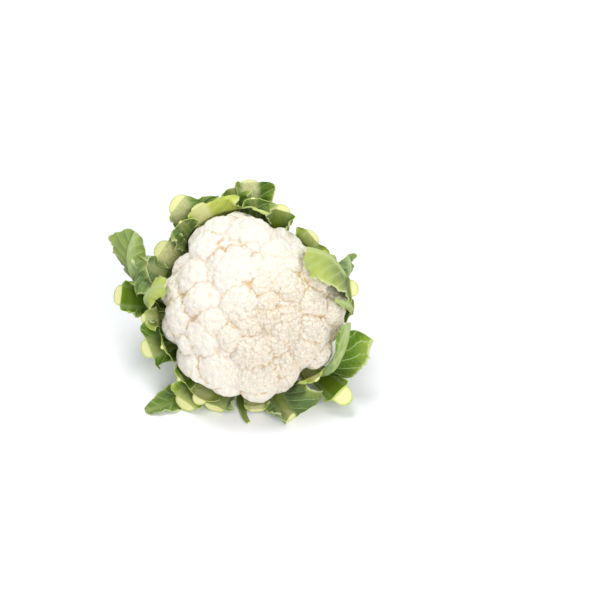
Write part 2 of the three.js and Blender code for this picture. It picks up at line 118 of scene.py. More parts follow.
# Rides the piece and hides the node it stands for
def placePiece(piece, node):
    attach(piece, "root")
    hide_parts(node)


# Adds a shader node; inputs are values or other nodes' sockets
def addNode(tree, kind, inputs, **settings):
    made = tree.nodes.new(kind)
    for key, value in settings.items():
        setattr(made, key, value)
    for key, value in inputs.items():
        socket = made.inputs[key]
        if isinstance(value, bpy.types.NodeSocket):
            tree.links.new(value, socket)
        else:
            socket.default_value = value
    return made


# One sum of a shader: the operation on its terms, kept from 0 to 1 if clamp is set
def calc(tree, operation, *terms, clamp=False):
    inputs = dict(enumerate(terms))
    return addNode(tree, "ShaderNodeMath", inputs, operation=operation, use_clamp=clamp).outputs[0]


# The first value multiplied by the second
def times(tree, first, second, clamp=False):
    return calc(tree, "MULTIPLY", first, second, clamp=clamp)


# A value times a factor, plus an amount
def scaled(tree, value, factor, amount, clamp=False):
    return calc(tree, "MULTIPLY_ADD", value, factor, amount, clamp=clamp)


# What a share leaves of 1
def remainder(tree, share):
    return calc(tree, "SUBTRACT", 1.0, share)


# Carries a value from one range to 0..1, held at both ends
def fade(tree, value, low, high):
    inputs = {"Value": value, "From Min": low, "From Max": high}
    return addNode(tree, "ShaderNodeMapRange", inputs, interpolation_type="SMOOTHSTEP").outputs[0]


# From the first colour to the second by a share
def blend(tree, share, first, second):
    return addNode(tree, "ShaderNodeMix", {0: share, 6: first, 7: second}, data_type="RGBA").outputs[2]


# Soft random values: waves of about 1 / scale, with as many finer layers as detail says
def noise(tree, place, scale, detail):
    inputs = {"Vector": place, "Scale": scale, "Detail": detail, "Roughness": 0.55}
    return addNode(tree, "ShaderNodeTexNoise", inputs).outputs["Fac"]


# Distance from the nearest of scattered spots, or as the settings say
def cellDistance(tree, place, scale, randomness=1.0, **settings):
    inputs = {"Vector": place, "Scale": scale, "Randomness": randomness}
    return addNode(tree, "ShaderNodeTexVoronoi", inputs, **settings).outputs["Distance"]


# Numbers that the mesh carries under these titles
def carried(tree, *titles):
    nodes = [addNode(tree, "ShaderNodeAttribute", {}, attribute_name=title) for title in titles]
    return [made.outputs["Fac"] for made in nodes]


# A colour of three parts, fully opaque
def rgb(*parts):
    return (*parts, 1.0)


# A new material with its tree, its shader and the place of each point on the object, in metres
def newMaterial(name):
    made = bpy.data.materials.new(name)
    made.use_nodes = True
    tree = made.node_tree
    shader = tree.nodes["Principled BSDF"]
    place = addNode(tree, "ShaderNodeTexCoord", {}).outputs["Object"]
    return made, tree, shader, place


# The surface's direction, tilted as if the height stood out by up to the distance, in metres
def bump(tree, height, strength, distance):
    inputs = {"Height": height, "Strength": strength, "Distance": distance}
    return addNode(tree, "ShaderNodeBump", inputs).outputs["Normal"]


# Gives a shader its colour and relief, a roughness that a pattern carries between two values, how
# much light goes into the flesh and how far in metres, and how strongly it shines
def finishSkin(tree, shader, base, relief, pattern, look, shine=0.5):
    smoothest, roughest = look["rough"]
    share, reach = look["glow"]
    tree.links.new(base, shader.inputs["Base Color"])
    tree.links.new(relief, shader.inputs["Normal"])
    tree.links.new(scaled(tree, pattern, roughest - smoothest, smoothest), shader.inputs["Roughness"])
    shader.inputs["Subsurface Weight"].default_value = share
    shader.inputs["Subsurface Radius"].default_value = reach
    shader.inputs["Subsurface Scale"].default_value = 1.0
    shader.inputs["Specular IOR Level"].default_value = shine


# The curd: sizes as in the solid, then the fine grain that only this model carries
curdLook = {
    "radius": 79,  # of the outline, in mm
    "dome": 62,  # how far it stands out in front
    "coreShare": 0.9,  # the core under the florets, as a share of the outline
    "neckDepth": 42,
    "branches": 11,  # flutes of the neck
    "branchRelief": 0.05,
    "swells": [  # around, spread, share gained
        (57, 24, -0.16), (75, 6, -0.1), (88, 7, 0.05), (113, 20, 0.05), (145, 10, -0.07), (240, 15, 0.1),
        (255, 5, -0.07), (270, 8, 0.04), (302, 12, -0.07),
    ],
    "cells": 312,  # grid cells along one side
    "underAngle": 150.2,  # where the neck begins, from the axis
    "frontShare": (97, 0.92),  # this much of the grid's half side lies within this angle
    "flatness": 1.32,  # radius of a floret's ball over its size
    "cover": 1.3,  # how far out its buds run, over its size
    "packing": 0.8,  # the room that one ball takes, over its spacing squared
    "budSpacing": (5.4, 0.17),  # a start and a share of the floret's size, in mm
    "budRoundness": (0.68, 0.6),  # a ball's radius over its spacing, where smooth and where fine
    "budSizes": (0.86, 1.16),
    "grainSpacing": (3.6, 3.1),  # where smooth and where fine
    "grainRoundness": (0.62, 0.58),
    "grainSizes": (0.85, 1.15),
    "grainLean": 73,  # how far round a bud its grains run
    "fineSide": (318, 45),  # where the grain is finest: around and tilt
    "fineSpacing": 0.85,  # spacing there, as a share
    "warp": (0.02, 0.012),  # how far ways are bent by long and by short waves
    "crispness": (0.4, 0.95),  # how little the relief is softened, where smooth and where fine
    "inset": 0.4,  # how far the grained skin lies inside the plain one, in mm
    "lineReach": {"grain": 1.3, "bud": 1.4, "floret": 1.4},  # depth of the shaded lines, in mm
    "seedSpacing": 0.0029,  # the finest grain, in metres
    "cream": rgb(0.92, 0.86, 0.77),
    "ivory": rgb(0.94, 0.9, 0.82),
    # painted shade along the lines between grains and buds and along the finest grain
    "paintedGrainShade": rgb(0.8, 0.66, 0.45),
    # painted orange-brown shade for the crevices between florets
    "paintedCreviceShade": rgb(0.62, 0.38, 0.13),
    # darker painted shade for where the curd lies deep inside its outline
    "paintedDeepShade": rgb(0.42, 0.27, 0.1),
    "under": rgb(0.72, 0.74, 0.45),
    "rough": (0.62, 0.82),
    "glow": (0.25, (0.004, 0.0028, 0.0016)),
}

# Florets of the front: around the axis in degrees from the right, tilt from the axis, and radius
florets = [
    (114, 70, 18), (95, 56, 20), (79, 63, 12), (128, 56, 17), (66, 45, 21), (120, 24, 23),
    (55, 25, 16), (39, 39, 10), (48, 57, 12), (157, 47, 18), (190, 57, 19), (180, 37, 14),
    (212, 8, 18), (211, 29, 15), (221, 43, 19), (18, 26, 12), (358, 44, 14), (355, 66, 11),
    (19, 52, 12), (50, 11, 10), (345, 11, 9), (325, 29, 16), (320, 15, 10), (336, 49, 15),
    (318, 54, 15), (300, 54, 17), (269, 35, 18), (272, 58, 20), (244, 54, 17), (231, 68, 13),
    (262, 17, 12), (243, 28, 9), (299, 33, 12), (214, 59, 12), (170, 66, 13), (295, 78, 12),
]
rimFlorets = {"count": 15, "tilt": 88, "size": 13.5, "scatter": (12, 6, 3)}


# Directions of a square grid on a sphere: the square is wrapped onto a disc, ring by ring, and the
# disc onto the sphere, evenly in front and more widely spaced towards the neck
def capDirections(cells, outAngle):
    side = np.linspace(-1, 1, cells + 1)
    a, b = np.meshgrid(side, side, indexing="ij")
    wide = np.abs(a) >= np.abs(b)
    reach = np.where(wide, a, b)
    low = np.where(wide, b, a)
    ratio = np.divide(low, reach, out=np.zeros_like(low), where=reach != 0)
    turn = np.where(wide, ratio * math.pi / 4, math.pi / 2 - ratio * math.pi / 4)
    x = reach * np.cos(turn)
    y = reach * np.sin(turn)
    frontAngle, share = curdLook["frontShare"]
    half = np.hypot(x, y)
    front = 2 * np.arcsin(np.clip(half / share, 0, 1) * math.sin(frontAngle * degree / 2))
    back = (frontAngle + (outAngle - frontAngle) * (half - share) / (1 - share)) * degree
    polar = np.where(half < share, front, back)
    around = np.arctan2(y, x)
    return np.stack([np.sin(polar) * np.cos(around), np.sin(polar) * np.sin(around), np.cos(polar)], -1)


# The share by which the curd's outline stands out in each way: a bell curve round each swelling
def swell(ways):
    around = np.degrees(np.arctan2(ways[..., 1], ways[..., 0]))
    side = np.hypot(ways[..., 0], ways[..., 1]) / np.linalg.norm(ways, axis=-1)
    gained = 1.0
    for middleOf, spread, share in curdLook["swells"]:
        off = (around - middleOf + 180) % 360 - 180
        gained = gained + share * side * np.exp(-((off / spread) ** 2))
    return gained


# A direction from two angles: sin tilt cos around, sin tilt sin around, cos tilt
def polarWay(around, tilt):
    a, t = around * degree, tilt * degree
    return np.array([math.sin(t) * math.cos(a), math.sin(t) * math.sin(a), math.cos(t)])


# A floret's middle, its outward way and its radius: it touches the curd's outline from inside
def floretPlace(around, tilt, size):
    axes = np.array([curdLook["radius"], curdLook["radius"], curdLook["dome"]])
    way = polarWay(around, tilt)
    top = way * axes * swell(way)
    out = unit(top / axes**2)
    radius = size * curdLook["flatness"]
    return top - out * radius, out, radius


# Ways spread evenly round a way by the golden angle, out to a lean, for balls on a ball
def spiral(out, count, lean, start):
    k = np.arange(count)
    tilt = np.arccos(1 - (1 - math.cos(lean)) * (k + 0.5) / count)
    turn = k * goldenAngle + start
    side = unit(np.cross(out, [0.31, 0.17, 0.93]) + 1e-9)
    other = np.cross(out, side)
    aside = np.cos(turn)[:, None] * side + np.sin(turn)[:, None] * other
    return np.cos(tilt)[:, None] * out + np.sin(tilt)[:, None] * aside


# How far each way runs from the middle to the far side of the outermost ball and of the next one, or
# 0 where it misses them
def ballReach(ways, centres, radii):
    along = ways @ centres.T
    inside = radii**2 - ((centres**2).sum(axis=1) - along**2)
    hit = (inside > 0) & (along > 0)
    runs = np.where(hit, along + np.sqrt(np.maximum(inside, 0)), 0)
    runs = np.partition(np.pad(runs, ((0, 0), (1, 0))), -2, axis=1)
    return runs[:, -1], runs[:, -2]


# The core: an inner dome in front, and behind it a fluted cone down to the neck
def coreReach(ways):
    x, y, z = ways.T
    side = np.hypot(x, y)
    wide = curdLook["coreShare"] * curdLook["radius"]
    front = swell(ways) / np.hypot(side / wide, z / (curdLook["coreShare"] * curdLook["dome"]))
    flute = 1 + curdLook["branchRelief"] * np.cos(curdLook["branches"] * np.arctan2(y, x))
    return np.where(z >= 0, front, flute * wide / np.maximum(side - z, 1e-6))


# Mean over a square of cells on each side of every grid value, run twice for a round effect
def soften(field, cells):
    for _ in range(2):
        for _ in range(2):
            padded = np.pad(field, ((cells + 1, cells), (0, 0)), mode="edge")
            total = np.cumsum(padded, axis=0)
            field = ((total[2 * cells + 1 :] - total[: -2 * cells - 1]) / (2 * cells + 1)).T
    return field


# The curd's reach on a grid of ways: the outermost of the core, the florets, the buds on each
# floret and the grains on each bud, every one a ball. Returned too is how much farther that is than
# the next floret, the next bud and the next grain, which is 0 on the line between the two
def curdReach(ways):
    reach = coreReach(ways)
    nextFloret, nextBud, nextGrain = np.zeros((3, len(ways)))
    fineWay = polarWay(*curdLook["fineSide"])
    turnBy, tiltBy, sizeBy = rimFlorets["scatter"]
    rim = [
        (
            k * 360 / rimFlorets["count"] + turnBy * draw(k),
            rimFlorets["tilt"] + tiltBy * draw(k + 50),
            rimFlorets["size"] + sizeBy * (draw(k + 90) - 0.5),
        )
        for k in range(rimFlorets["count"])
    ]
    cover, packing = curdLook["cover"], curdLook["packing"]
    for index, (around, tilt, size) in enumerate(florets + rim):
        centre, out, radius = floretPlace(around, tilt, size)
        fine = float(np.clip((out @ fineWay - 0.7) / 0.22, 0, 1))
        budSpacing = curdLook["budSpacing"][0] + curdLook["budSpacing"][1] * size
        budSpacing = budSpacing * between(fine, 1, curdLook["fineSpacing"])
        budBall = budSpacing * between(fine, *curdLook["budRoundness"])
        farthest = math.hypot(size * cover, np.linalg.norm(centre) + radius * 0.3)
        cone = math.atan2(1.35 * size, farthest)
        near = np.nonzero(ways @ unit(centre + out * radius * 0.7) > math.cos(cone))[0]
        found, besideBud = ballReach(ways[near], centre[None], np.array([radius - 0.5 * budBall]))
        besideGrain = besideBud.copy()
        lean = math.asin(min(0.97, cover * size / radius))
        count = round((1 - math.cos(lean)) * 2 * math.pi * radius**2 / (packing * budSpacing**2))
        buds = spiral(out, count, lean, index)
        budRadii = budBall * between(draw(index * 97 + np.arange(count)), *curdLook["budSizes"])
        budCentres = centre + buds * (radius - budBall - (budRadii - budBall) * 0.6)[:, None]
        grainSpacing = between(fine, *curdLook["grainSpacing"])
        grainBall = grainSpacing * between(fine, *curdLook["grainRoundness"])
        for k in range(count):
            budCentre, budRadius = budCentres[k], budRadii[k]
            cone = 1.25 * budRadius / np.linalg.norm(budCentre)
            close = ways[near] @ unit(budCentre) > math.cos(cone)
            if not close.any():
                continue
            grainCount = round(2 * math.pi * 0.7 * budRadius**2 / (packing * grainSpacing**2))
            grains = spiral(buds[k], grainCount, curdLook["grainLean"] * degree, index * 31 + k)
            drawn = draw(index * 193 + k * 17 + np.arange(grainCount))
            radii = grainBall * between(drawn, *curdLook["grainSizes"])
            centres = budCentre + grains * (budRadius - radii)[:, None]
            first, after = ballReach(ways[near][close], centres, radii)
            both = np.minimum(found[close], first)
            besideBud[close] = np.maximum(besideBud[close], both)
            besideGrain[close] = np.maximum.reduce([besideGrain[close], both, after])
            found[close] = np.maximum(found[close], first)
        both = np.minimum(reach[near], found)
        nextFloret[near] = np.maximum(nextFloret[near], both)
        nextBud[near] = np.maximum.reduce([nextBud[near], both, besideBud])
        nextGrain[near] = np.maximum.reduce([nextGrain[near], both, besideGrain])
        reach[near] = np.maximum(reach[near], found)
    cap = curdLook["neckDepth"] / np.maximum(-ways[:, 2], 1e-6)
    gaps = reach - nextFloret, reach - nextBud, reach - nextGrain
    return np.where(ways[:, 2] < 0, np.minimum(reach, cap), reach), *gaps


# Ivory and cream, with painted shade along the lines between grains and buds and painted orange-brown
# shade in the crevices between florets, stronger the deeper they are, and darker painted shade deep
# down; the finest grain is painted shade and relief with no shape of its own
def curdMaterial():
    made, tree, shader, place = newMaterial("curdSkin")
    grainLine, budLine, floretLine = carried(tree, "grainLine", "budLine", "floretLine")
    depth, behind, fine = carried(tree, "depth", "behind", "fine")
    seedScale = 1 / curdLook["seedSpacing"]
    seedOff = cellDistance(tree, place, seedScale, 0.85)
    seedEdge = cellDistance(tree, place, seedScale, 0.85, feature="DISTANCE_TO_EDGE")
    seedShare = scaled(tree, fine, 0.6, 0.4)
    patches = fade(tree, noise(tree, place, 22, 3), 0.35, 0.7)
    base = blend(tree, patches, curdLook["ivory"], curdLook["cream"])
    # painted shade along the lines between grains and buds, and at 0.3 along the finest grain's cells
    softLine = calc(tree, "MAXIMUM", grainLine, budLine)
    base = blend(tree, times(tree, softLine, 0.85), base, curdLook["paintedGrainShade"])
    seedLine = times(tree, remainder(tree, fade(tree, seedEdge, 0.0, 0.16)), seedShare)
    base = blend(tree, times(tree, seedLine, 0.3), base, curdLook["paintedGrainShade"])
    # painted orange-brown shade along the crevices between florets, in patches and stronger where they
    # lie deeper
    uneven = fade(tree, noise(tree, place, 38, 2), 0.35, 0.7)
    strength = scaled(tree, times(tree, fade(tree, depth, 0.5, 6), uneven), 0.95, 0.18)
    base = blend(tree, times(tree, floretLine, strength), base, curdLook["paintedCreviceShade"])
    # darker painted shade where the curd lies 11 to 22 mm inside its outline
    base = blend(tree, fade(tree, depth, 11, 22), base, curdLook["paintedDeepShade"])
    base = blend(tree, behind, base, curdLook["under"])
    specks = noise(tree, place, 900, 2)
    seedRelief = times(tree, times(tree, seedOff, seedOff), times(tree, seedShare, -2.0))
    relief = bump(tree, scaled(tree, specks, 0.15, seedRelief), 1.0, 0.0009)
    finishSkin(tree, shader, base, relief, specks, curdLook, 0.3)
    return made


# The curd's skin on the grid of ways, closed under the neck by a fan
def makeCurd():
    cells = curdLook["cells"]
    grid = capDirections(cells, curdLook["underAngle"])
    ways = grid.reshape(-1, 3)
    longWarp, shortWarp = curdLook["warp"]
    bent = np.stack([wobble(ways, 0.55, 11 + k) for k in range(3)], axis=-1) * longWarp
    bent += np.stack([wobble(ways, 0.16, 21 + k) for k in range(3)], axis=-1) * shortWarp
    found = curdReach(unit(ways + bent * np.clip(ways[:, 2:] + 0.6, 0, 1)))
    fineReach, floretGap, budGap, grainGap = (part.reshape(cells + 1, cells + 1) for part in found)
    x, y, z = np.moveaxis(grid, -1, 0)
    outline = swell(grid) / np.hypot(np.hypot(x, y) / curdLook["radius"], z / curdLook["dome"])
    fineShare = np.clip((grid @ polarWay(*curdLook["fineSide"]) - 0.5) / 0.4, 0, 1)
    crisp = between(fineShare, *curdLook["crispness"])
    reach = between(crisp, soften(fineReach, 2), fineReach) - curdLook["inset"]
    lineReach = curdLook["lineReach"]
    # the lines between grains, buds and florets and the depth under the outline steer the painted shade
    # in curdMaterial
    values = {
        "fine": fineShare,
        "grainLine": np.clip(1 - grainGap / lineReach["grain"], 0, 1) * between(fineShare, 0.25, 0.6),
        "budLine": np.clip(1 - budGap / lineReach["bud"], 0, 1) * between(fineShare, 0.35, 1),
        "floretLine": np.clip(1 - floretGap / lineReach["floret"], 0, 1),
        "depth": np.where(z > -0.15, outline - fineReach, 0),
        "behind": np.clip((-z - 0.35) / 0.3, 0, 1),
    }
    # the fan's middle point carries 0 of everything but behind
    values = {title: np.append(numbers, float(title == "behind")) for title, numbers in values.items()}
    number = np.arange((cells + 1) ** 2).reshape(cells + 1, cells + 1)
    edge = np.concatenate([number[:, 0], number[-1, 1:], number[-2::-1, -1], number[0, -2::-1]])
    pole = np.full(len(edge) // 2, number.size)
    fan = np.stack([edge[2::2], edge[1:-1:2], edge[:-2:2], pole], axis=1)
    faces = np.vstack([gridFaces(cells + 1, cells + 1), fan])
    points = np.vstack([(grid * reach[..., None]).reshape(-1, 3), [[0, 0, -curdLook["neckDepth"]]]])
    piece = makePiece("curd_florets", toRow(points), faces, [curdMaterial()], values=values)
    placePiece(piece, "curd")


makeCurd()
print("Curd made")

# Leaves: what they all share
leafLook = {
    "blade": 0.9,  # thickness beside the rib, in mm
    "margin": 0.55,  # thickness at the margin
    "bulge": 0.08,  # how far a stalk's inner side falls back at its edges, as a share of half its width
    "ribbing": 0.12,  # depth of the grooves along a stalk's outer side, in mm
    "columnStep": 1.15,  # width of a blade's grid cell, in mm
    "rows": (14, 46),  # along the leaf's hidden half and along its outer half
    "wideRib": 9,  # a rib wider than this has the first number of columns, others the second
    "ribColumns": (9, 7),
    "veinSpacing": 9,
    "veinSlope": 0.75,  # how far forwards a side vein runs for each mm outwards
    "pucker": 0.75,  # how far the blade swells between its side veins, in mm
    "fineRuffle": 0.42,  # height of the small waves, over that of the large ones
    "corner": 5,  # how far a blade's corner is rounded off
    "tear": 1.3,  # how unevenly a blade was cut, in mm
    "capRows": 5,  # across the cut
    "dish": 0.5,  # how hollow a cut is, in mm
    "curdGap": 0.8,  # how far a leaf stays clear of the curd's outline, in mm
    "underCone": (0.54, 0.84, 53),  # across, down, reach: florets stay inside this cone
    "darkGreen": rgb(0.03, 0.07, 0.006),
    "midGreen": rgb(0.14, 0.26, 0.012),
    "lightGreen": rgb(0.62, 0.7, 0.13),
    "greyGreen": rgb(0.27, 0.36, 0.19),
    "paleVein": rgb(0.52, 0.63, 0.32),
    "stalkOutside": rgb(0.46, 0.57, 0.24),
    "stalkInside": rgb(0.74, 0.73, 0.38),
    "stalkOlive": rgb(0.17, 0.24, 0.02),
    # the pale margin colour, partly the leaf's own paler edge and partly painted highlight
    "paleMarginAndHighlight": rgb(0.72, 0.78, 0.4),
    "rough": (0.42, 0.67),
    "glow": (0.12, (0.0016, 0.002, 0.0007)),
}

# The cut across a stalk
cutLook = {
    "pale": rgb(0.84, 0.82, 0.38),
    "rim": rgb(0.46, 0.58, 0.11),
    "dot": rgb(0.74, 0.76, 0.42),
    "rough": (0.35, 0.65),
    "glow": (0.3, (0.003, 0.003, 0.001)),
}

# Where a leaf springs from the stem, as [reach, rise]: low is the outermost layer
low = [20, -67]
middle = [20, -59]
high = [20, -51]


# A leaf that leaves the stem straight outwards, without turning round the head
def straight(around, root, shoulder, end):
    return [[around, *root], [around, root[0] + 20, root[1] + 15], [around, *shoulder], [around, *end]]


# Every leaf. path is the midrib's Bezier curve, each point as [around in degrees, reach, rise];
# rib is [width, thickness]; ahead and behind are the blade's two sides, the way the angle grows and
# the other way, each as [width, curl in degrees towards the curd, lift in degrees beside the rib];
# from is where along the rib the blade begins; ruffle is [height, waves, start]; cut is [slant of
# the cut across the stalk, how much longer the outer side is] and jut is how far the blades ahead and
# behind reach past the stalk, all in mm; tip is 0 for a leaf that was cut across and 1 for one that
# ends in its own point; tone is how light the blade is, how grey, and how pale its stalk is inside,
# below 0 where the stalk is as green as the blade. What a leaf doesn't say is as in plainLeaf
plainLeaf = {"from": 0.5, "cut": [0, 0], "jut": [0, 0], "tip": 0}
leaves = {
    "outer_leaf_01": {
        "path": straight(10, low, [66, -10], [82, 4]), "rib": [14, 10], "ahead": [6, 30, 10],
        "behind": [6, 20, 10], "from": 0.6, "ruffle": [1, 3, 0], "cut": [1, 1], "tone": [0.6, 0, 0.3],
    },
    "outer_leaf_02": {
        "path": straight(50, low, [58, -9], [76, 0]), "rib": [15, 9], "ahead": [7, 30, 10],
        "behind": [20, 25, 0], "from": 0.6, "ruffle": [1.5, 3, 0.3], "cut": [2, 1], "jut": [0, 3],
        "tone": [0.62, -0.1, 0.2],
    },
    "outer_leaf_03": {
        "path": straight(74, low, [66, -8], [83, 2]), "rib": [16, 10], "ahead": [5, 30, 10],
        "behind": [14, 130, 20], "from": 0.6, "ruffle": [1.5, 3, 0.1], "cut": [0, 2],
        "tone": [0.45, 0, 0],
    },
    "outer_leaf_04": {
        "path": straight(92, low, [81, -6], [104, 0]), "rib": [14, 9], "ahead": [5, 30, 10],
        "behind": [17, 35, -10], "from": 0.55, "ruffle": [2, 4, 0.4], "cut": [0, 2], "jut": [3, 1],
        "tone": [0.35, 0, 0.95],
    },
    "outer_leaf_05": {
        "path": straight(100, middle, [80, -12], [101, -2]), "rib": [5, 3], "ahead": [18, 50, 0],
        "behind": [16, 40, 5], "ruffle": [5, 3, 0], "tip": 0.5, "tone": [0.55, 0.1, 0],
    },
    "outer_leaf_06": {
        "path": [[129, 20, -67], [129, 42, -51], [129, 87, -13], [126, 105, 2]], "rib": [19, 10],
        "ahead": [4, 20, 10], "behind": [26, 20, 15], "from": 0.6, "ruffle": [2.5, 4, 0.2],
        "cut": [-6, 2], "jut": [0, -13], "tone": [0.45, 0.25, 0.75],
    },
    "outer_leaf_07": {
        "path": straight(148, low, [70, -14], [88, 2]), "rib": [17, 12], "ahead": [4, 20, 10],
        "behind": [13, 25, 5], "from": 0.6, "ruffle": [2, 3, 0.6], "cut": [0, 1], "jut": [0, 3],
        "tone": [0.35, 0.15, 0.9],
    },
    "outer_leaf_08": {
        "path": straight(175, low, [90, -21], [110, -4]), "rib": [18, 11], "ahead": [10, 40, 20],
        "behind": [12, 120, 40], "ruffle": [3, 4, 0.1], "cut": [0, 1], "tone": [0.5, 0, -0.8],
    },
    "outer_leaf_09": {
        "path": straight(187, middle, [76, -9], [89, 6]), "rib": [9, 6], "ahead": [7, 50, 30],
        "behind": [7, 60, 30], "from": 0.6, "ruffle": [2, 4, 0.5], "tone": [0.7, 0, 0.9],
    },
    "outer_leaf_10": {
        "path": straight(202, low, [70, -15], [92, -2]), "rib": [17, 10], "ahead": [13, -50, -15],
        "behind": [20, 60, 10], "from": 0.55, "ruffle": [3, 4, 0.8], "cut": [0, 4], "jut": [0, 4],
        "tone": [0.4, -0.1, 0.1],
    },
    "outer_leaf_11": {
        "path": [[234, 20, -67], [234, 45, -50], [235, 92, -22], [224, 125, -12]], "rib": [5, 3],
        "ahead": [17, 20, 5], "behind": [18, 20, 5], "from": 0.45, "ruffle": [2, 3, 0.2], "tip": 0.9,
        "tone": [0.45, 0.15, 0],
    },
    "outer_leaf_12": {
        "path": straight(235, middle, [79, -18], [96, -4]), "rib": [19, 11], "ahead": [5, 20, 10],
        "behind": [10, 40, 10], "from": 0.6, "ruffle": [1.5, 3, 0], "cut": [0, 1],
        "tone": [0.65, -0.1, 0.15],
    },
    "outer_leaf_13": {
        "path": straight(249, middle, [73, -19], [88, -6]), "rib": [18, 8], "ahead": [6, 30, 10],
        "behind": [17, 60, 20], "from": 0.6, "ruffle": [3, 4, 0.3], "tone": [0.3, 0.4, 0.2],
    },
    "outer_leaf_14": {
        "path": [[266, 20, -67], [262, 40, -52], [256, 80, -26], [268, 97, -3]], "rib": [3.5, 2.5],
        "ahead": [3.5, 40, 30], "behind": [3.5, 40, 30], "ruffle": [1, 4, 0], "tip": 0.6,
        "tone": [0.35, 0, 0],
    },
    "outer_leaf_15": {
        "path": [[283, 20, -67], [283, 42, -51], [283, 74, -12], [289, 99, -3]], "rib": [12, 9],
        "ahead": [31, 45, 12], "behind": [10, 20, 10], "ruffle": [5, 3, 0.6], "cut": [0, 1],
        "tone": [0.2, 0.3, 0.15],
    },
    "outer_leaf_16": {
        "path": straight(315, low, [94, -19], [100, 2]), "rib": [17, 14], "ahead": [4, 20, 10],
        "behind": [5, 40, 10], "from": 0.6, "ruffle": [1.5, 3, 0.2], "cut": [0, 3],
        "tone": [0.5, -0.1, -0.4],
    },
    "outer_leaf_17": {
        "path": [[318, 20, -59], [312, 52, -44], [303, 104, 0], [347, 68, 15]], "rib": [9, 6.5],
        "ahead": [31, -15, -75], "behind": [9, 60, 50], "ruffle": [3, 4, 0.1], "jut": [-6, 0],
        "tone": [0.5, -0.3, 0.8],
    },
    "outer_leaf_18": {
        "path": straight(1, middle, [60, -15], [84, -6]), "rib": [5, 3], "ahead": [5, 30, 10],
        "behind": [14, 30, 0], "ruffle": [2.5, 4, 0.5], "tip": 0.3, "tone": [0.4, 0.1, 0],
    },
    "outer_leaf_19": {
        "path": [[178, 20, -59], [178, 68, -36], [172, 108, -6], [148, 112, 8]], "rib": [9, 9],
        "ahead": [18, 20, 80], "behind": [44, 50, -75], "from": 0.2, "ruffle": [5, 3, 0.3], "tip": 0.8,
        "tone": [0.66, 0.05, 0.9],
    },
    "inner_leaf_01": {
        "path": [[6, 20, -51], [6, 76, -46], [10, 94, 18], [44, 61, 32]], "rib": [5, 3],
        "ahead": [5, 10, 0], "behind": [38, 15, 0], "ruffle": [3, 3, 0], "jut": [0, 5],
        "tone": [0.85, 0, 0],
    },
    "inner_leaf_02": {
        "path": [[16, 20, -59], [16, 60, -40], [11, 88, -8], [28, 87, 6]], "rib": [4, 3],
        "ahead": [10, 20, -70], "behind": [12, 30, 80], "ruffle": [3, 4, 0.4], "tip": 0.3,
        "tone": [0.4, 0.3, 0],
    },
    "inner_leaf_03": {
        "path": straight(90, high, [72, -8], [88, 10]), "rib": [5, 3], "ahead": [14, 60, 5],
        "behind": [18, 60, 0], "ruffle": [5, 4, 0.1], "tip": 0.2, "tone": [0.3, 0.15, 0],
    },
    "inner_leaf_04": {
        "path": straight(119, high, [74, -6], [94, 2]), "rib": [14, 8], "ahead": [6, 30, 10],
        "behind": [34, 36, 10], "from": 0.55, "ruffle": [5, 3, 0.7], "cut": [0, 2],
        "tone": [1, -0.2, 1],
    },
    "inner_leaf_05": {
        "path": straight(131, middle, [76, -10], [91, 8]), "rib": [4, 3], "ahead": [20, 60, -10],
        "behind": [15, 80, 20], "ruffle": [5, 4, 0.2], "tip": 0.2, "tone": [0.3, 0.25, 0],
    },
    "inner_leaf_06": {
        "path": straight(159, middle, [75, -3], [108, 4]), "rib": [5, 4], "ahead": [26, 30, -5],
        "behind": [8, 40, 20], "ruffle": [4, 3, 0.5], "jut": [-10, -4], "tone": [0.35, 0.45, 0.6],
    },
    "inner_leaf_07": {
        "path": [[184, 20, -51], [186, 66, -44], [181, 114, 14], [170, 70, 38]], "rib": [4, 2.5],
        "ahead": [10, 60, 10], "behind": [12, 50, 10], "ruffle": [4, 4, 0.3], "tip": 0.2,
        "tone": [0.85, -0.1, 0],
    },
    "inner_leaf_08": {
        "path": straight(205, high, [70, -13], [81, 6]), "rib": [5, 4], "ahead": [18, 70, 10],
        "behind": [16, 70, 10], "ruffle": [3, 4, 0.6], "tip": 0.3, "tone": [0.45, -0.1, 0.2],
    },
    "inner_leaf_09": {
        "path": straight(240, high, [71, -14], [85, 0]), "rib": [12, 8], "ahead": [10, 50, 10],
        "behind": [8, 50, 10], "from": 0.6, "ruffle": [2, 5, 0.1], "cut": [0, 1], "tone": [0.8, 0, 0.7],
    },
    "inner_leaf_10": {
        "path": straight(272, high, [71, -18], [85, -6]), "rib": [13, 4], "ahead": [5, 40, 10],
        "behind": [5, 40, 10], "from": 0.6, "ruffle": [2, 4, 0.8], "tone": [0.9, 0.5, 1],
    },
    "inner_leaf_11": {
        "path": straight(311, high, [70, -13], [80, 4]), "rib": [7, 3], "ahead": [12, 80, 10],
        "behind": [16, 60, 10], "from": 0.6, "ruffle": [3, 5, 0.4], "tip": 0.2, "tone": [0.9, 0, 0.9],
    },
    "inner_leaf_12": {
        "path": [[104, 20, -51], [106, 66, -44], [106, 88, 12], [80, 74, 26]], "rib": [1.5, 1.2],
        "ahead": [3, 60, 20], "behind": [3, 60, 20], "ruffle": [2.5, 8, 0.1], "tip": 0.3,
        "tone": [1, -0.3, 0.5],
    },
    "inner_leaf_13": {
        "path": [[-6, 20, -51], [-5, 72, -44], [-4, 102, 6], [1, 67, 36]], "rib": [1.5, 1.2],
        "ahead": [6, 60, 10], "behind": [5, 40, 10], "ruffle": [2.5, 5, 0.3], "tip": 0.9,
        "tone": [0.75, 0, 0],
    },
    "inner_leaf_14": {
        "path": straight(225, high, [74, -17], [85, 2]), "rib": [5, 4], "ahead": [15, 70, 10],
        "behind": [14, 70, 10], "ruffle": [3, 5, 0.2], "tip": 0.3, "tone": [0.5, -0.1, 0.2],
    },
}


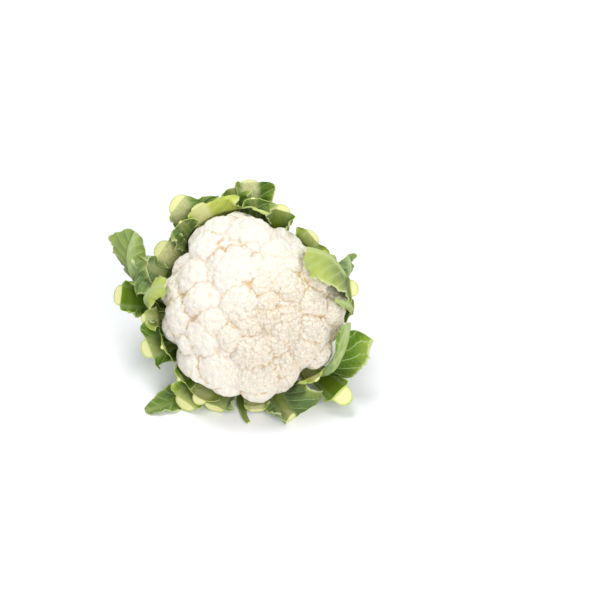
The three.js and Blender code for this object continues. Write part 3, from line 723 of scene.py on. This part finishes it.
# The midrib's points at u: the Bezier sum in around, reach and rise, turned into x, y and z
def ribPoint(path, u):
    weights = np.stack([(1 - u) ** 3, 3 * u * (1 - u) ** 2, 3 * u * u * (1 - u), u**3], axis=-1)
    around, reach, rise = np.moveaxis(weights @ np.array(path, dtype=float), -1, 0)
    turn = around * degree
    return np.stack([reach * np.cos(turn), reach * np.sin(turn), rise], axis=-1)


# Directions at the midrib: along it, towards the curd, and across the leaf
def ribFrame(path, u):
    place = ribPoint(path, u)
    along = unit(ribPoint(path, u + 0.01) - ribPoint(path, u - 0.01))
    inward = unit(along * (place * along).sum(-1, keepdims=True) - place)
    return place, along, inward, np.cross(inward, along)


# Presses points that would enter the curd's outline or the surface below out to lie on it
def settle(points, normals, thickness):
    across, down, reachOfCone = leafLook["underCone"]
    room = leafLook["curdGap"]
    reach = np.hypot(points[..., 0], points[..., 1])
    wide, tall = curdLook["radius"] + room, curdLook["dome"] + room
    dome = swell(points) / np.hypot(reach / wide, points[..., 2] / tall)
    under = reachOfCone + room - across * reach + down * points[..., 2]
    inside = (dome > 1) & (under > 0)
    near = (dome - 1) * np.linalg.norm(points, axis=-1) < under
    pushed = points * dome[..., None]
    radial = points.copy()
    radial[..., 2] = 0
    way = unit(radial + 1e-9) * across
    way[..., 2] = -down
    shifted = points + way * under[..., None]
    points = np.where((inside & near)[..., None], pushed, points)
    points = np.where((inside & ~near)[..., None], shifted, points)
    height = pose["centre"][2] + points @ upright - thickness * np.maximum(0, normals @ upright)
    return points + upright * np.maximum(-height, 0)[..., None]


# One leaf on a grid of u along its rib and q across it: within 1 of the middle is the rib, from
# there to 2 is the blade, an arc of even curl. Towards the end the cut runs slanting over the stalk
# and the blades jut past it. Ruffles grow towards the margin, the blade swells between its side
# veins, and the margin and the cut are uneven. Returns both faces and the distances in mm.
def leafFaces(leaf, u, q, seed):
    side = np.sign(q)
    t = np.maximum(0, np.abs(q) - 1)
    s = np.clip(q, -1, 1)
    hump = np.sqrt(1 - s * s)  # a half round, 1 on the middle of the rib
    spine = ribPoint(leaf["path"], np.linspace(0, 1, 60))
    length = np.linalg.norm(np.diff(spine, axis=0), axis=1).sum()
    spread, curl, start = (np.where(side > 0, a, b) for a, b in zip(leaf["ahead"], leaf["behind"]))
    curl, start = curl * degree, start * degree
    grown = np.clip((u - leaf["from"]) / (1 - leaf["from"]), 0, 1)
    spots = np.stack([q * 12, u * length], axis=-1)
    tearing = 0.5 * wobble(spots, 9, seed) + 0.5 * wobble(spots, 3.5, seed + 1) - 0.6
    tear = leafLook["tear"] / length * t**0.5 * tearing * (1 - leaf["tip"])
    jut = np.where(side > 0, *leaf["jut"]) * np.minimum(1, 3 * t) - leafLook["corner"] * t**4
    at = u + ((leaf["cut"][0] * s + jut) / length + tear) * u**6
    place, along, inward, across = ribFrame(leaf["path"], at)
    half = 0.5 * leaf["rib"][0] * (0.6 + 0.4 * u) * (1 - 0.8 * leaf["tip"] * u**4)
    points = place + across * (s * half)[..., None]
    points = points - inward * (leafLook["bulge"] * s * s * half)[..., None]
    ribDepth = (leaf["rib"][1] - leafLook["blade"]) * (1 - 0.8 * leaf["tip"] * u**3)
    thickness = between(t, leafLook["blade"], leafLook["margin"]) + ribDepth * hump
    lobes = 0.925 - 0.05 * wobble(spots, 12, seed + 2) - 0.025 * wobble(spots, 3.5, seed + 3)
    width = np.maximum(0.8, spread * grown**0.45 * np.sqrt(1 - leaf["tip"] * grown**4)) * lobes
    turn = start + curl * t
    points = points + across * (side * width * (np.sin(turn) - np.sin(start)) / curl)[..., None]
    points = points + inward * (width * (np.cos(start) - np.cos(turn)) / curl)[..., None]
    lean = turn * (t > 0)
    normals = inward * np.cos(lean)[..., None] - across * (side * np.sin(lean))[..., None]
    rise, waves, phase = leaf["ruffle"]
    circle = 2 * math.pi
    large = np.sin(circle * (waves * u + phase + 0.3 * side))
    small = circle * (2.7 * waves * u + 1.7 * phase + 0.4 * side) + 1.5 * wobble(spots, 20, seed + 4)
    ruffle = grown * rise * (t**1.5 * large + leafLook["fineRuffle"] * t**2.5 * np.sin(small))
    reachOut = width * t
    vein = (u * length - leafLook["veinSlope"] * reachOut) / leafLook["veinSpacing"] + 0.5 * side
    pucker = leafLook["pucker"] * np.clip(reachOut / 6, 0, 1) * grown**0.5 * np.cos(circle * vein)
    points = points + normals * (ruffle + pucker)[..., None]
    points = settle(points, normals, thickness)
    grooves = leafLook["ribbing"] * np.clip(leaf["rib"][0] / 12, 0.3, 1) * (1 - np.cos(3 * circle * s))
    outer = points - normals * (thickness - grooves * hump)[..., None]
    outer = outer + along * (leaf["cut"][1] * hump * u**6)[..., None]
    return points, outer, along, side * (np.abs(s) * half + reachOut), u * length, t, reachOut


# One leaf's mesh: its two faces, the cut, which is slightly hollow and has its own material, and the
# plain narrow sides that close it
def makeLeaf(name, leaf, index, leafSkin, cutFace):
    seed = 100 + index * 7
    step = leafLook["columnStep"]
    behind, ahead = (max(3, math.ceil(leaf[part][0] / step)) for part in ("behind", "ahead"))
    wide, slim = leafLook["ribColumns"]
    ribColumns = wide if leaf["rib"][0] > leafLook["wideRib"] else slim
    acrossRib = np.sin(np.linspace(-math.pi / 2, math.pi / 2, ribColumns))
    stations = np.concatenate([
        np.linspace(-2, -1, behind, endpoint=False), acrossRib, np.linspace(1, 2, ahead + 1)[1:],
    ])
    rootRows, endRows = leafLook["rows"]
    rows = np.concatenate([np.linspace(0, 0.5, rootRows, endpoint=False), np.linspace(0.5, 1, endRows)])
    u, q = np.meshgrid(rows, stations, indexing="ij")
    inner, outer, along, acrossMm, alongMm, t, reachOut = leafFaces(leaf, u, q, seed)
    count, width = u.shape
    capRows = leafLook["capRows"]
    share = np.linspace(0, 1, capRows)[:, None, None]
    unevenness = wobble(np.stack([acrossMm[-1], np.zeros(width)], axis=-1), 5, seed + 5)[None, :, None]
    hollow = leafLook["dish"] * np.sin(math.pi * share) * (0.4 + 0.6 * unevenness)
    hollow = hollow * np.clip(1 - np.abs(stations) ** 4, 0, 1)[None, :, None]
    cap = between(share, inner[-1], outer[-1]) - along[-1] * hollow
    points = np.concatenate([face.reshape(-1, 3) for face in (inner, outer, cap)])
    number = np.arange(count * width).reshape(count, width)
    other = number + count * width
    rightSide = np.stack([number[:-1, -1], number[1:, -1], other[1:, -1], other[:-1, -1]], axis=1)
    leftSide = np.stack([number[:-1, 0], other[:-1, 0], other[1:, 0], number[1:, 0]], axis=1)
    rootSide = np.stack([number[0, :-1], number[0, 1:], other[0, 1:], other[0, :-1]], axis=1)
    innerFaces, outerFaces = gridFaces(count, width), gridFaces(count, width, count * width, flip=True)
    capFaces = gridFaces(capRows, width, 2 * count * width)
    faces = np.vstack([innerFaces, outerFaces, capFaces, leftSide, rightSide, rootSide])
    onCut = np.arange(len(faces)) - 2 * len(innerFaces)
    skinOfFace = ((onCut >= 0) & (onCut < len(capFaces))).astype(int)
    rim = np.tile(stations, (capRows, 1)).ravel()
    shareOfCap = np.repeat(share.ravel(), width)
    capEdge = np.maximum(np.abs(np.clip(rim, -1, 1)) ** 3, np.abs(2 * shareOfCap - 1) ** 2)
    capUv = np.stack([np.tile(acrossMm[-1], capRows), leaf["rib"][1] * shareOfCap], axis=1)
    uv = np.stack([acrossMm, alongMm], axis=-1).reshape(-1, 2)
    light, grey, pale = leaf["tone"]
    zero, one = np.zeros(count * width), np.ones(count * width)
    capZero, capOne = np.zeros(len(rim)), np.ones(len(rim))
    ribShare = np.abs(np.clip(q, -1, 1)).ravel()
    values = {  # on the inner face, the outer face and the cut
        "inside": [one, zero, capOne],
        "bladeShare": [t.ravel(), t.ravel(), np.clip(np.abs(rim) - 1, 0, 1)],
        "outMm": [reachOut.ravel(), reachOut.ravel(), capZero],
        "upShare": [u.ravel(), u.ravel(), capOne],
        "ribShare": [ribShare, ribShare, capZero],
        "rimOfCut": [zero, zero, capEdge],
        "lightTone": [np.full(len(points), light)],
        "greyTone": [np.full(len(points), grey)],
        "paleTone": [np.full(len(points), pale)],
    }
    values = {title: np.concatenate(numbers) for title, numbers in values.items()}
    uvInCm = np.concatenate([uv, uv, capUv]) / 10
    skins = [leafSkin, cutFace]
    piece = makePiece(f"{name}_blade", toRow(points), faces, skins, skinOfFace, uvInCm, values)
    placePiece(piece, name)


# The blade's green runs from dark to light by the leaf's tone and a mottle, with painted shade that
# darkens it low down; it is darker between the side veins, greyer outside and lighter towards the
# margin, with pale veins over it and a pale margin band that is partly painted highlight
def bladeColours(tree, surface, place, mottle, outMm):
    light, grey, inside = carried(tree, "lightTone", "greyTone", "inside")
    bladeShare, up = carried(tree, "bladeShare", "upShare")
    warp = times(tree, calc(tree, "SUBTRACT", noise(tree, place, 60, 2), 0.5), 0.5)
    alongCm = addNode(tree, "ShaderNodeSeparateXYZ", {0: surface}).outputs["Y"]
    sideVein = scaled(tree, outMm, -leafLook["veinSlope"] / 10, alongCm)
    sideVein = scaled(tree, sideVein, 10 / leafLook["veinSpacing"], warp)
    # 0.5 on a side vein and 0 half way between two
    offVein = calc(tree, "ABSOLUTE", calc(tree, "SUBTRACT", calc(tree, "FRACT", sideVein), 0.5))
    mainVeins = fade(tree, offVein, 0.44, 0.5)
    net = cellDistance(
        tree, surface, 2.6, 0.9, voronoi_dimensions="2D", feature="DISTANCE_TO_EDGE",
    )
    netVeins = remainder(tree, fade(tree, net, 0.0, 0.07))
    veins = calc(tree, "MAXIMUM", mainVeins, times(tree, netVeins, 0.22))
    veins = times(tree, veins, fade(tree, bladeShare, 0.0, 0.06))
    offMean = calc(tree, "SUBTRACT", mottle, 0.5)
    midShare = fade(tree, scaled(tree, offMean, 0.5, light), 0.0, 0.5)
    lightShare = fade(tree, scaled(tree, offMean, 0.4, light), 0.45, 1.0)
    green = blend(tree, midShare, leafLook["darkGreen"], leafLook["midGreen"])
    green = blend(tree, lightShare, green, leafLook["lightGreen"])
    # painted shade: the blade darkens towards the stem, low down where shade falls
    paintedLowShade = times(tree, remainder(tree, fade(tree, up, 0.6, 0.95)), 0.9)
    green = blend(tree, paintedLowShade, green, leafLook["darkGreen"])
    betweenVeins = remainder(tree, fade(tree, offVein, 0.05, 0.45))
    betweenVeins = times(tree, betweenVeins, scaled(tree, light, -0.42, 0.45), clamp=True)
    green = blend(tree, betweenVeins, green, leafLook["darkGreen"])
    greyness = scaled(tree, remainder(tree, inside), 0.25, grey, clamp=True)
    green = blend(tree, greyness, green, leafLook["greyGreen"])
    towardsRim = times(tree, fade(tree, scaled(tree, mottle, 0.5, bladeShare), 0.75, 1.4), 0.35)
    green = blend(tree, towardsRim, green, leafLook["lightGreen"])
    base = blend(tree, times(tree, veins, 0.85), green, leafLook["paleVein"])
    # a pale band along the margin, partly the leaf's own paler edge and partly painted highlight
    margin = times(tree, fade(tree, bladeShare, 0.9, 1.0), 0.8)
    return green, veins, blend(tree, margin, base, leafLook["paleMarginAndHighlight"])


# The stalk: pale inside as far as the leaf's own tone says, with painted light and shade that make it
# paler towards the cut and olive lower down, streaked with the blade's green along its fibres and
# pale again at its edges, partly as painted highlight
def stalkColours(tree, green, mottle, fibre):
    pale, inside, up, ribShare = carried(tree, "paleTone", "inside", "upShare", "ribShare")
    # painted light and shade: the inside is paler towards the cut and turns olive lower down
    towardsCut = fade(tree, scaled(tree, mottle, 0.12, up), 0.86, 1.1)
    palest = times(tree, pale, fade(tree, up, 0.45, 1.0))
    palest = scaled(tree, towardsCut, 0.35, palest, clamp=True)
    inner = blend(tree, palest, leafLook["stalkOlive"], leafLook["stalkInside"])
    stalk = blend(tree, inside, leafLook["stalkOutside"], inner)
    streaks = times(tree, fade(tree, fibre, 0.35, 0.75), 0.55)
    asGreen = calc(tree, "MAXIMUM", streaks, times(tree, pale, -1.0), clamp=True)
    stalk = blend(tree, asGreen, stalk, green)
    # the stalk's edges paler, partly its own colour and partly painted highlight
    edges = times(tree, fade(tree, ribShare, 0.6, 1.0), 0.3)
    return blend(tree, edges, stalk, leafLook["paleMarginAndHighlight"])


# The stalk's colours give way to the blade's as ribShare + 0.14 outMm, and parts of the fibre and
# the mottle, pass from 1.15 to 2.15. Fibre and fine grain stand out, and veins sink in
def leafMaterial():
    made, tree, shader, place = newMaterial("leafSkin")
    surface = addNode(tree, "ShaderNodeUVMap", {}, uv_map="surface").outputs["UV"]
    ribShare, outMm = carried(tree, "ribShare", "outMm")
    mottle = noise(tree, place, 45, 4)
    green, veins, blade = bladeColours(tree, surface, place, mottle, outMm)
    alongLeaf = addNode(tree, "ShaderNodeMapping", {"Vector": surface, "Scale": (6, 0.5, 1)}).outputs[0]
    fibre = noise(tree, alongLeaf, 3, 3)
    stalk = stalkColours(tree, green, mottle, fibre)
    edge = scaled(tree, fibre, 0.5, scaled(tree, outMm, 0.14, ribShare))
    edge = scaled(tree, mottle, 0.7, edge)
    base = blend(tree, fade(tree, edge, 1.15, 2.15), stalk, blade)
    height = scaled(tree, noise(tree, place, 420, 3), 0.35, times(tree, veins, -0.6))
    relief = bump(tree, scaled(tree, fibre, 0.5, height), 0.7, 0.0007)
    finishSkin(tree, shader, base, relief, mottle, leafLook, 0.16)
    return made


# The cut: pale flesh with the dots of its fibres, greener at the rim
def cutMaterial():
    made, tree, shader, place = newMaterial("leafCut")
    surface = addNode(tree, "ShaderNodeUVMap", {}, uv_map="surface").outputs["UV"]
    rim = carried(tree, "rimOfCut")[0]
    dots = cellDistance(tree, surface, 4.5, voronoi_dimensions="2D")
    dotShare = remainder(tree, fade(tree, dots, 0.12, 0.3))
    grain = noise(tree, place, 700, 3)
    base = blend(tree, times(tree, dotShare, 0.5), cutLook["pale"], cutLook["dot"])
    base = blend(tree, fade(tree, scaled(tree, grain, 0.25, rim), 0.45, 1.1), base, cutLook["rim"])
    height = scaled(tree, dotShare, -0.4, times(tree, grain, 0.5))
    finishSkin(tree, shader, base, bump(tree, height, 0.5, 0.0005), grain, cutLook)
    return made


leafSkin = leafMaterial()
cutFace = cutMaterial()
for index, (name, leaf) in enumerate(leaves.items()):
    makeLeaf(name, {**plainLeaf, **leaf}, index, leafSkin, cutFace)
print("Leaves made:", len(leaves))

# The stem: a turned profile, cut flat below, with the ridges and scars of the leaves it carried
stemLook = {
    "profile": [(22, -74), (24.5, -72), (25.7, -66), (25.9, -61), (25.2, -54), (24, -47), (23, -42.35)],
    "columns": 160,
    "rows": 60,
    "rings": 12,  # that close each end
    "scars": 0.5,  # their depth, in mm
    "scarRise": 8,  # from one band of scars to the next, in mm
    "dish": 0.15,  # how hollow the cut is
    "side": rgb(0.62, 0.7, 0.38),
    "scar": rgb(0.45, 0.44, 0.2),
    "face": rgb(0.84, 0.84, 0.62),
    "ring": rgb(0.6, 0.66, 0.34),
    "rough": (0.45, 0.7),
    "glow": (0.2, (0.003, 0.003, 0.0012)),
}


# The stem's side is the profile turned round, less low winding bands of scars; its two ends are
# rings that run in to a fan on the axis
def makeStem():
    reachAt, riseAt = np.array(stemLook["profile"]).T
    share = np.linspace(0, 1, stemLook["rows"])
    knots = np.linspace(0, 1, len(reachAt))
    turn = np.linspace(0, 2 * math.pi, stemLook["columns"], endpoint=False)
    rise, around = np.meshgrid(np.interp(share, knots, riseAt), turn, indexing="ij")
    spots = np.stack([np.cos(around) * 25, np.sin(around) * 25, rise], axis=-1)
    bands = np.clip(np.cos(2 * math.pi * rise / stemLook["scarRise"] + 2 * around) - 0.3, 0, 1)
    inset = stemLook["scars"] * (0.6 * bands + 0.2 + 0.2 * wobble(spots, 7, 5))
    inset = np.clip(inset, 0, 1) * np.sin(math.pi * share)[:, None]
    sideReach = np.interp(share, knots, reachAt)[:, None] - inset
    rings = stemLook["rings"]
    inwards = np.linspace(0, 1, rings + 2)[1:-1, None]
    reach = np.vstack([sideReach[0] * inwards, sideReach, sideReach[-1] * inwards[::-1]])
    uneven = 0.5 + 0.5 * wobble(np.stack([np.cos(turn) * 20, np.sin(turn) * 20], -1), 12, 6)
    lower = rise[0] + stemLook["dish"] * uneven * np.sin(math.pi * inwards)
    allRise = np.vstack([lower, rise, np.tile(rise[-1], (rings, 1))])
    points = np.stack([reach * np.cos(turn), reach * np.sin(turn), allRise], axis=-1)
    poles = [[0, 0, rise[0, 0]], [0, 0, rise[-1, 0]]]
    rowsAll, columns = reach.shape
    number = np.arange(rowsAll * columns).reshape(rowsAll, columns)
    after = np.roll(number, -1, axis=1)
    wall = np.stack([number[:-1], after[:-1], after[1:], number[1:]], axis=-1).reshape(-1, 4)
    pairs = np.arange(0, columns, 2)
    onward = (pairs + 2) % columns
    pole = np.full(len(pairs), number.size)
    lowFan = np.stack([number[0, onward], number[0, pairs + 1], number[0, pairs], pole], axis=1)
    highFan = np.stack([number[-1, pairs], number[-1, pairs + 1], number[-1, onward], pole + 1], axis=1)
    onCut = np.zeros(reach.shape)
    onCut[: rings + 1] = 1
    scar = np.zeros(reach.shape)
    scar[rings : rings + stemLook["rows"]] = bands
    values = {"cutFace": np.append(onCut, [1, 0]), "scar": np.append(scar, [0, 0])}
    allPoints = toRow(np.vstack([points.reshape(-1, 3), poles]))
    faces = np.vstack([wall, lowFan, highFan])
    piece = makePiece("stem_stalk", allPoints, faces, [stemMaterial()], values=values)
    placePiece(piece, "stem")


# Green and paler in patches, browner in the scars, and pale grained flesh on the cut
def stemMaterial():
    made, tree, shader, place = newMaterial("stemSkin")
    face, scar = carried(tree, "cutFace", "scar")
    patches = fade(tree, noise(tree, place, 60, 4), 0.3, 0.75)
    grain = noise(tree, place, 600, 3)
    side = blend(tree, patches, stemLook["side"], stemLook["ring"])
    side = blend(tree, times(tree, scar, 0.6), side, stemLook["scar"])
    cut = blend(tree, fade(tree, grain, 0.45, 0.7), stemLook["face"], stemLook["ring"])
    relief = bump(tree, grain, 0.5, 0.0006)
    finishSkin(tree, shader, blend(tree, face, side, cut), relief, grain, stemLook)
    return made


makeStem()
print("Stem made")

# The pale surface and the soft light
studio = {
    "floorSize": 14,
    "floorColours": (rgb(0.92, 0.92, 0.955), rgb(0.95, 0.95, 0.955)),
    "floorGlow": 0.05,
    "skyColour": rgb(0.95, 0.97, 1.0),
    "skyStrength": 0.6,
    "lamps": [
        {"name": "overhead", "place": (-0.3, 0.32, 1.9), "size": 1.0, "power": 17.5},
        {"name": "fill", "place": (1.0, -1.6, 1.2), "size": 1.6, "power": 20.5},
    ],
    "lookAt": (0.0, 0.0, 0.06),  # the lamps point here
}


# A matt floor, mottled between two close colours, that glows a little
def floorMaterial():
    made, tree, shader, place = newMaterial("floorPaint")
    shade = blend(tree, noise(tree, place, 3, 2), *studio["floorColours"])
    tree.links.new(shade, shader.inputs["Base Color"])
    shader.inputs["Roughness"].default_value = 0.7
    shader.inputs["Specular IOR Level"].default_value = 0.2
    shader.inputs["Emission Color"].default_value = rgb(1, 1, 1)
    shader.inputs["Emission Strength"].default_value = studio["floorGlow"]
    return made


# A level square at height 0, that reaches half its side each way from the middle
def makeFloor():
    half = studio["floorSize"] / 2
    mesh = bpy.data.meshes.new("floor")
    corners = [(-half, -half, 0), (half, -half, 0), (half, half, 0), (-half, half, 0)]
    mesh.from_pydata(corners, [], [(0, 1, 2, 3)])
    mesh.materials.append(floorMaterial())
    floor = bpy.data.objects.new("floor", mesh)
    bpy.context.scene.collection.objects.link(floor)


# A round lamp at its place, turned so that its light falls towards the studio's lookAt
def makeLamp(name, place, size, power):
    data = bpy.data.lights.new(name, "AREA")
    data.shape = "DISK"
    data.size = size
    data.energy = power
    lamp = bpy.data.objects.new(name, data)
    bpy.context.scene.collection.objects.link(lamp)
    aim = (Vector(studio["lookAt"]) - Vector(place)).to_track_quat("-Z", "Y")
    lamp.matrix_world = Matrix.Translation(place) @ aim.to_matrix().to_4x4()


# Even light from all sides, and colours shown as they are
def makeSky():
    world = bpy.data.worlds.new("softSky")
    world.use_nodes = True
    sky = world.node_tree.nodes["Background"]
    sky.inputs["Color"].default_value = studio["skyColour"]
    sky.inputs["Strength"].default_value = studio["skyStrength"]
    bpy.context.scene.world = world
    bpy.context.scene.view_settings.view_transform = "Standard"


makeFloor()
for lampLook in studio["lamps"]:
    makeLamp(**lampLook)
makeSky()
print("Studio made")

# The camera looks down at the head; the head's middle falls at this pixel of a 600 by 600 picture
cameraLook = {
    "elevation": 41,
    "distance": 1.2,
    "field": 0.498,  # width of the picture at the head, in metres
    "pixel": (253, 306),
    "picture": 600,
    "sensor": 36,
}


# The head's middle lies at its pixel: the aim is moved from it by that pixel's distance from the
# picture's middle. The lens is the sensor's width times distance / field
def makeCamera():
    rise = cameraLook["elevation"] * degree
    look = np.array([0, math.cos(rise), -math.sin(rise)])
    right = np.array([1.0, 0, 0])
    up = np.array([0, math.sin(rise), math.cos(rise)])
    perPixel = cameraLook["field"] / cameraLook["picture"]
    middlePixel = cameraLook["picture"] / 2
    aim = np.array(pose["centre"]) / 1000
    aim = aim - right * (cameraLook["pixel"][0] - middlePixel) * perPixel
    aim = aim + up * (cameraLook["pixel"][1] - middlePixel) * perPixel
    data = bpy.data.cameras.new("photoCamera")
    data.sensor_fit = "HORIZONTAL"
    data.sensor_width = cameraLook["sensor"]
    data.lens = cameraLook["sensor"] * cameraLook["distance"] / cameraLook["field"]
    data.clip_end = 60
    camera = bpy.data.objects.new("photoCamera", data)
    bpy.context.scene.collection.objects.link(camera)
    turn = Matrix([(right[k], up[k], -look[k]) for k in range(3)]).to_4x4()
    camera.matrix_world = Matrix.Translation(aim - look * cameraLook["distance"]) @ turn
    bpy.context.scene.camera = camera


makeCamera()
print("Camera set")
